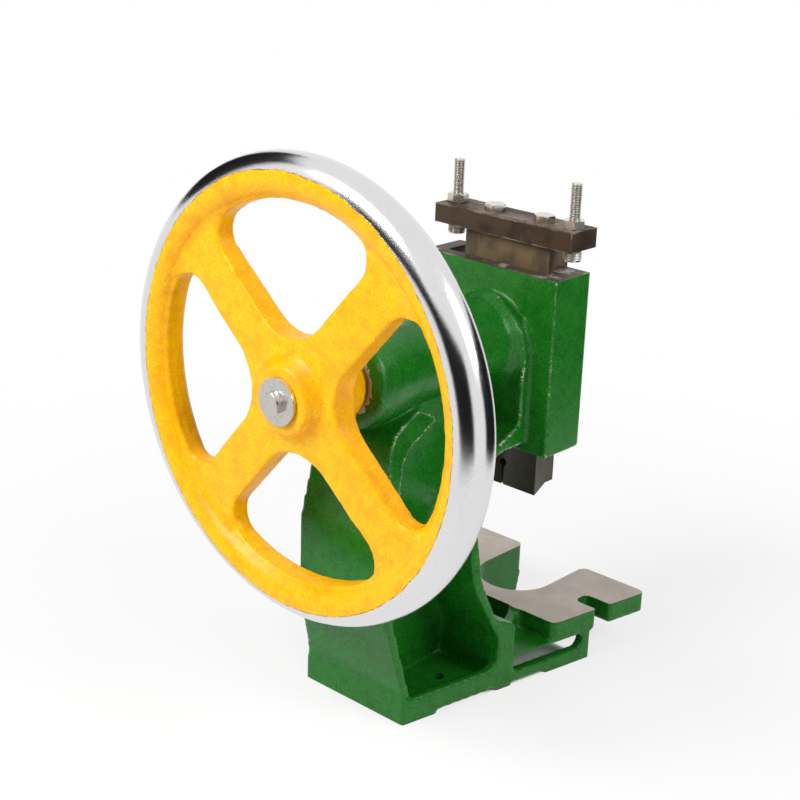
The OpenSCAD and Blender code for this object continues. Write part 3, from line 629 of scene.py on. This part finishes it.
def hand_over(obj, body, slot, finish, *nodes):
    """Shades a finished piece, gives it its finish, hangs it on its body and hides the CAD nodes it
    stands for.
    """
    smooth_shading(obj, 32)
    obj.data.materials.clear()
    obj.data.materials.append(finish)
    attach(obj, body)
    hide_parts(*nodes)


def knurled_head(name, radius, height):
    """A round head with a diamond knurl, plain at its top and its foot."""
    obj = rod(name, (0, 0, 0), height, radius - 0.0003, sides=44)
    bpy.ops.object.mode_set(mode="EDIT")
    rows = 8
    for level in range(1, rows):
        bpy.ops.mesh.select_all(action="SELECT")
        bpy.ops.mesh.bisect(plane_co=(0, 0, height * level / rows), plane_no=(0, 0, 1))
    bpy.ops.object.mode_set(mode="OBJECT")
    pick_faces(obj, lambda c, n: abs(n.z) < 0.1 and height * 0.12 < c.z < height * 0.88)
    bpy.ops.mesh.poke(offset=0.00045)
    bpy.ops.object.mode_set(mode="OBJECT")
    return obj


bolt_radius, across_flats, run_in = 0.005, 0.017, 0.001


def hex_bolt(name, length, head_height=0.0064):
    """An upright bolt with its tip at the origin and its hexagon head on top."""
    shank = thread("bolt", length - head_height + run_in, bolt_radius)
    return joined(name, shank, hexagon("head", length - head_height, across_flats, head_height))


for side in ("left", "right"):
    low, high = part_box("stop_screw_" + side)
    centre = (low + high) / 2
    centre.z = low.z
    head_height = 0.010
    screw = thread("stop_screw", high.z - low.z - head_height + run_in, bolt_radius)
    screw = turned(screw, "z", (0, 0, head_height - run_in))
    head = knurled_head("stop_head", 0.008, head_height)
    combine(head, rod("socket", (0, 0, -0.001), 0.006, 0.0046, sides=6), solver="EXACT")
    screw = turned(joined("stop_screw_%s_detail" % side, screw, head), "z", centre)
    hand_over(screw, "stop_" + side, "zinc", zinc, "stop_screw_" + side)

    low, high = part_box("stop_nut_" + side)
    nut = hexagon("stop_nut_%s_detail" % side, 0, across_flats, high.z - low.z, hole=0.00505,
                  both_ends=True)
    nut.rotation_euler.z = math.radians(12 if side == "left" else 38)
    nut.location = (centre.x, centre.y, low.z)
    hand_over(place(nut, nut.name), "ram", "zinc", zinc, "stop_nut_" + side)

    low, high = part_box("bar_bolt_" + side)
    centre = (low + high) / 2
    bolt = hex_bolt("bar_bolt_%s_detail" % side, high.z - low.z)
    bolt.rotation_euler.z = math.radians(20 if side == "left" else -8)
    bolt.location = (centre.x, centre.y, low.z)
    hand_over(place(bolt, bolt.name), "ram", "zinc", zinc, "bar_bolt_" + side)

low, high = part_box("wheel_bolt")
bolt = hex_bolt("wheel_bolt_detail", high.y - low.y)
bolt.rotation_euler = (math.pi / 2, math.radians(10), 0)
bolt.location = (0, high.y, shaft.z)
hand_over(place(bolt, bolt.name), "crank", "zinc", zinc, "wheel_bolt")


def machined(node, name, edge=0.0004):
    """The CAD node's shape with its flat faces made whole and its edges broken."""
    obj = copy_of(node, name)
    only(obj)
    bpy.ops.object.mode_set(mode="EDIT")
    bpy.ops.mesh.select_all(action="SELECT")
    bpy.ops.mesh.dissolve_limited(angle_limit=math.radians(0.5))
    bpy.ops.object.mode_set(mode="OBJECT")
    return apply_modifier(obj, "BEVEL", width=edge, segments=2, limit_method="ANGLE",
                          angle_limit=math.radians(30), miter_outer="MITER_ARC")


hand_over(machined("wheel_washer", "wheel_washer_detail", 0.0006), "crank", "zinc", zinc,
          "wheel_washer")

low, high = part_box("gib_screws")
screws = []
for height in screw_heights:
    screw = thread("gib_screw", high.x - low.x, 0.004, 0.00125, 0.0007)
    screw = turned(screw, "x", (low.x, gib_reach, height))
    combine(screw, cuboid("slot", (low.x - 0.001, gib_reach - 0.006, height - 0.0006),
                          (low.x + 0.0016, gib_reach + 0.006, height + 0.0006)), solver="EXACT")
    screws.append(screw)
hand_over(joined("gib_screws_detail", *screws), "frame", "zinc", zinc, "gib_screws")
low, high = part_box("gib_lock_nuts")
nuts = []
for turn, height in zip((10, 34, 52), screw_heights):
    nut = hexagon("gib_nut", 0, 0.013, high.x - low.x, hole=gib_thread, both_ends=True)
    nut.rotation_euler.z = math.radians(turn)
    nut = place(nut, "gib_nut")
    nuts.append(turned(nut, "x", (low.x, gib_reach, height)))
hand_over(joined("gib_lock_nuts_detail", *nuts), "frame", "zinc", zinc, "gib_lock_nuts")

# ---------------------------------------------------------------------------------------
# The ram, its clamp screw, its gib strip and the cross bar. The ram is oiled brown, and its
# dovetail flanks are dark but for a bright strip beside the back, where the gib rubs. The
# gib is ground iron, and the bar is browned steel with worn corners.
# ---------------------------------------------------------------------------------------
ram_steel, spot = new_finish("oiled_ram_steel")
marks = spot.noise(0.0011, 2.0, stretch=(1, 1, 0.05))
stain = spot.noise(0.016, 4.0, stretch=(1, 1, 0.6), seed=2.0)
painted_shade_low = spot.part("Z").ramp(0.235, 0.2)
facing = spot.node("NewGeometry", output="Normal")
to_front, sideways = facing.part("Y"), facing.math("ABSOLUTE", facing.part("X"))
flank = to_front.ramp(0.2, 0.33) * to_front.ramp(0.6, 0.45) * sideways.ramp(0.8, 0.9)
from_back = spot.part("Y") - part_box("ram")[0].y
brown = spot.colour((0.135, 0.092, 0.045)).blend(stain.ramp(0.35, 0.72), (0.06, 0.04, 0.022))
brown = brown.blend(marks.ramp(0.55, 0.75) * 0.2, (0.2, 0.15, 0.09))
# Below the head's lower end the ram is painted dark, a painted shade, which also dims the rubbed
# strip
brown = brown.blend(painted_shade_low * 0.8, (0.03, 0.03, 0.018))
rubbed = flank * (from_back.ramp(0.0135, 0.0115) * (1 - painted_shade_low * 0.6))
brown = brown.blend(flank, (0.035, 0.022, 0.015)).blend(rubbed, (0.5, 0.46, 0.42))
surface(brown, 0.4 + 0.2 * stain, 0.00002 * marks + 0.00001 * stain,
        metallic=0.35 + 0.5 * rubbed)
hand_over(machined("ram", "ram_detail", 0.0005), "ram", "ram_steel", ram_steel, "ram")

black_steel, spot = new_finish("black_steel")
cloud = spot.noise(0.003, 3.0)
black = spot.colour((0.05, 0.05, 0.052)).blend(cloud.ramp(0.5, 0.75) * 0.5, (0.1, 0.095, 0.09))
surface(black, 0.35 + 0.15 * cloud, 0.00001 * cloud, metallic=0.8)
hand_over(machined("shank_clamp_screw", "shank_clamp_screw_detail", 0.0003), "ram", "black_steel",
          black_steel, "shank_clamp_screw")

gib_iron, spot = new_finish("ground_gib")
marks = spot.noise(0.0009, 2.0, stretch=(1, 1, 0.05))
ground = spot.colour((0.3, 0.26, 0.22)).blend(spot.noise(0.014, 3.0).ramp(0.4, 0.7),
                                              (0.19, 0.155, 0.12))
surface(ground, 0.4 + 0.15 * marks, 0.000015 * marks, metallic=0.7)
gib = machined("gib_strip", "gib_strip_detail", 0.0004)
gib_drop, over = 0.007, 0.01
combine(gib, cuboid("top", (gib_low.x - over, gib_low.y - over, gib_high.z - gib_drop),
                    (gib_high.x + over, gib_high.y + over, gib_high.z + over)), solver="EXACT")
hand_over(gib, "frame", "gib_iron", gib_iron, "gib_strip")

bar_steel, spot = new_finish("browned_bar_steel")
pits = spot.noise(0.0016, 3.0)
stain = spot.noise(0.018, 4.0, seed=5.0)
low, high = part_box("cross_bar")
inward = []
for letter, near, far in zip("XYZ", low, high):
    inward.append((far - near) / 2 - spot.math("ABSOLUTE", spot.part(letter) - (near + far) / 2))
in_x, in_y, in_z = inward
from_edge = spot.math("MINIMUM", spot.math("MAXIMUM", in_y, in_z),
                      spot.math("MAXIMUM", in_x, in_z))
from_edge = spot.math("MINIMUM", spot.math("MAXIMUM", in_x, in_y), from_edge)
worn = (from_edge + 0.0016 * spot.noise(0.003, 2.0, seed=3.0)).ramp(0.0018, 0.0009) * 0.5
worn = worn * spot.noise(0.02, 2.0, seed=13.0).ramp(0.4, 0.65)
brown = spot.colour((0.055, 0.032, 0.017)).blend(stain.ramp(0.4, 0.7), (0.026, 0.017, 0.01))
brown = brown.blend(pits.ramp(0.58, 0.72) * 0.5, (0.12, 0.07, 0.035)).blend(worn, (0.5, 0.45, 0.38))
# Upward faces are lighter in patches
lighter_on_top = spot.node("NewGeometry", output="Normal").part("Z").ramp(0.9, 0.99)
brown = brown.blend(lighter_on_top * spot.noise(0.02, 3.0, seed=11.0).ramp(0.4, 0.62) * 0.7,
                    (0.24, 0.18, 0.14))
surface(brown, 0.42 + 0.2 * stain, 0.00004 * pits + 0.00003 * stain,
        metallic=0.3, Specular_IOR_Level=0.3)
hand_over(machined("cross_bar", "cross_bar_detail", 0.0007), "ram", "bar_steel", bar_steel,
          "cross_bar")

# ---------------------------------------------------------------------------------------
# The studio: a pale floor that the camera sees as white, a large soft lamp over the
# camera's left, a weaker lamp at the side, a white world, dark cards for the polished
# metal, and the camera where the photograph was taken from.
# ---------------------------------------------------------------------------------------


def looked_at(wire):
    """1 where the camera sees a place, straight or in metal or through glass."""
    straight, in_metal, in_glass = (
        wire.node("LightPath", output="Is %s Ray" % kind)
        for kind in ("Camera", "Glossy", "Transmission"))
    return wire.math("MAXIMUM", straight, wire.math("MAXIMUM", in_metal, in_glass))


bpy.ops.mesh.primitive_plane_add(size=60, location=(0, 0, -0.0004))
floor = place(bpy.context.object, "floor")
floor_finish, spot = new_finish("pale_floor")
paper = spot.node("BsdfDiffuse", None, {"Color": (0.9, 0.9, 0.9, 1)})
white = spot.node("Emission", None, {"Color": (1, 1, 1, 1), "Strength": 1.0})
away = spot.node("VectorMath", {"operation": "LENGTH"}, {0: spot}, "Value")

# The floor doesn't shine under the table and the foot, whose sides taper to the rear: a
# painted shadow in the footprint's shape, where the paper shows only the lamps' own light
side_edge, taper = 0.0745, 0.18
across, along = spot.part("X"), spot.part("Y")
beside = spot.math("ABSOLUTE", across) - along * taper
clear = 1 - (beside.ramp(side_edge, side_edge - 0.0045) * along.ramp(0.0, 0.01)
             * along.ramp(0.127, 0.121))
shine = looked_at(spot) * clear * (0.72 + 0.28 * away.ramp(0.25, 0.9))
spot.node("OutputMaterial", None, {
    "Surface": spot.node("MixShader", None, {0: shine, 1: paper, 2: white})})
floor.data.materials.append(floor_finish)

# Four dark cards that only the polished metal sees, so that it shows bands as in a studio.
# Each has a direction, a distance from the rim's right side, a width and two heights
card_finish, spot = new_finish("dark_card")
dark = spot.node("Emission", None, {"Color": (0.012, 0.012, 0.014, 1)})
spot.node("OutputMaterial", None, {"Surface": dark})
rim_right = 0.17
for angle, distance, width, low, high in (
        (-66, 0.75, 0.5, 0, 0.34), (55, 0.75, 0.8, 0, 0.3),
        (-180, 1.15, 2.0, 0.02, 1.9), (-108, 1.4, 0.9, 0.5, 1.35)):
    turn = math.radians(angle)
    bpy.ops.mesh.primitive_plane_add(
        size=1, scale=(width, high - low, 1), rotation=(math.pi / 2, 0, turn + math.pi / 2),
        location=(rim_right + distance * math.cos(turn), rim_plane + distance * math.sin(turn),
                  (low + high) / 2))
    card = place(bpy.context.object, "card")
    card.data.materials.append(card_finish)
    card.visible_camera = card.visible_diffuse = card.visible_shadow = False
    card.visible_transmission = card.visible_volume_scatter = False

world = bpy.data.worlds.new("studio")
bpy.context.scene.world = world
world.use_nodes = True
world.node_tree.nodes.clear()
wire = Wire(world.node_tree)
wire.node("OutputWorld", None, {"Surface": wire.node(
    "Background", None, {"Color": (1, 1, 1, 1), "Strength": 0.32 + 0.68 * looked_at(wire)})})


def lamp(name, spot, aim, size, power):
    """A square soft lamp at a spot, turned to what it lights."""
    data = bpy.data.lights.new(name, "AREA")
    data.shape, data.size, data.energy = "SQUARE", size, power
    obj = bpy.data.objects.new(name, data)
    bpy.context.scene.collection.objects.link(obj)
    obj.location = spot
    obj.rotation_euler = (Vector(aim) - Vector(spot)).to_track_quat("-Z", "Y").to_euler()


lamp("key", (-0.5, -1.7, 1.8), (0, 0, 0.2), 1.1, 52)
lamp("side", (1.8, 0.5, 1.4), (0, 0, 0.25), 1.0, 22)

camera = bpy.data.objects.new("camera", bpy.data.cameras.new("camera"))
bpy.context.scene.collection.objects.link(camera)
camera.data.lens, camera.data.sensor_width = 72.05, 36
camera.data.clip_start, camera.data.clip_end = 0.01, 20
camera.matrix_world = (
    Matrix.Translation((0.86149, -0.99733, 0.74012))
    @ Matrix.Rotation(math.radians(42.069), 4, "Z")
    @ Matrix.Rotation(math.radians(90 - 19.954), 4, "X")
    @ Matrix.Rotation(math.radians(1.982), 4, "Z"))
bpy.context.scene.camera = camera
bpy.context.scene.view_settings.view_transform = "Standard"
